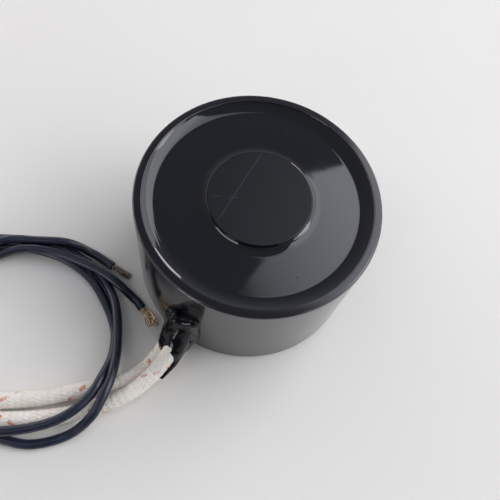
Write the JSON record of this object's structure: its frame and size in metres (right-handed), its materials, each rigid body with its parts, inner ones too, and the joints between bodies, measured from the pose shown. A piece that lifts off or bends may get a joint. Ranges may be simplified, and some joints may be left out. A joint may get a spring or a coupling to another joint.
{
  "type": "holding electromagnet",
  "caption": "Round pot-type holding electromagnet: black steel cup, flush centre pole, resin-potted coil, sealed lead exit, glass-sleeved leads with bared ends and a tapped hole in the back.",
  "frame": {"origin": "centre of the back face, at the mouth of the tapped mounting hole", "axes": "+Z along the cup's axis from the back to the holding face, the leads leave the wall along -Y"},
  "size_m": [0.0864, 0.0979, 0.03],
  "materials": {
    "cup_coating": "gloss black coating on turned steel",
    "pole_coating": "satin black coating on turned steel, with a fine scratch",
    "bobbin_nylon": "moulded natural nylon",
    "copper": "enamelled copper wire",
    "tape": "amber insulating film",
    "tinned_crimp": "tinned crimp",
    "potting_resin": "self-levelled gloss black epoxy",
    "sealing_compound": "hand-applied wet-gloss black compound",
    "glass_braid": "varnished glass-fibre braid with red tracer yarns",
    "lead_insulation": "smooth extruded black insulation",
    "copper_strands": "bared, slightly dulled copper strands"
  },
  "bodies": {
    "root": {"cup": "cup_coating", "core": "pole_coating", "bobbin": "bobbin_nylon", "winding": "copper", "winding_tape": "tape", "start_tail": "copper", "finish_tail": "copper", "splice_1": "tinned_crimp", "splice_2": "tinned_crimp", "potting": "potting_resin", "exit_seal": "sealing_compound", "glass_sleeve_1": "glass_braid", "glass_sleeve_2": "glass_braid", "lead_1": "lead_insulation", "lead_2": "lead_insulation", "strands_1": "copper_strands", "strands_2": "copper_strands"}
  },
  "joints": []
}
